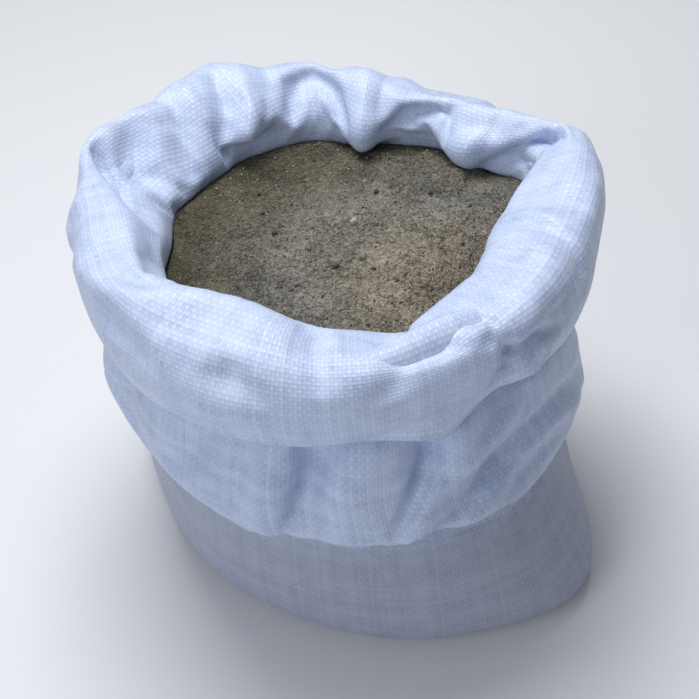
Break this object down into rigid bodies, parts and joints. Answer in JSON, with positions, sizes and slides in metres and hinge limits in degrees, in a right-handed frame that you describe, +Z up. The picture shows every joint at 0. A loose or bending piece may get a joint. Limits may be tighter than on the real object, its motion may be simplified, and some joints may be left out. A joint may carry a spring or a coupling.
{
  "type": "open bag of river sand",
  "caption": "Open woven polypropylene sack filled with river sand, its mouth rolled outward into a thick cuff, standing on its flat bottom.",
  "frame": {"origin": "on the floor under the middle of the bounding box, at the bottom of the sack", "axes": "+Z up, out of the mouth; -Y is the side that the picture shows; the bottom seam runs at 45 degrees from +X towards -Y"},
  "size_m": [0.3489, 0.3458, 0.3018],
  "materials": {
    "sack_fabric": "woven from flat white tapes, slightly shiny",
    "sand": "loose, damp, grey-brown river sand with small pebbles",
    "seam_thread": "white sewing thread, matt"
  },
  "bodies": {
    "root": {"woven_sack": "sack_fabric", "river_sand": "sand", "bottom_seam_thread": "seam_thread"}
  },
  "joints": []
}
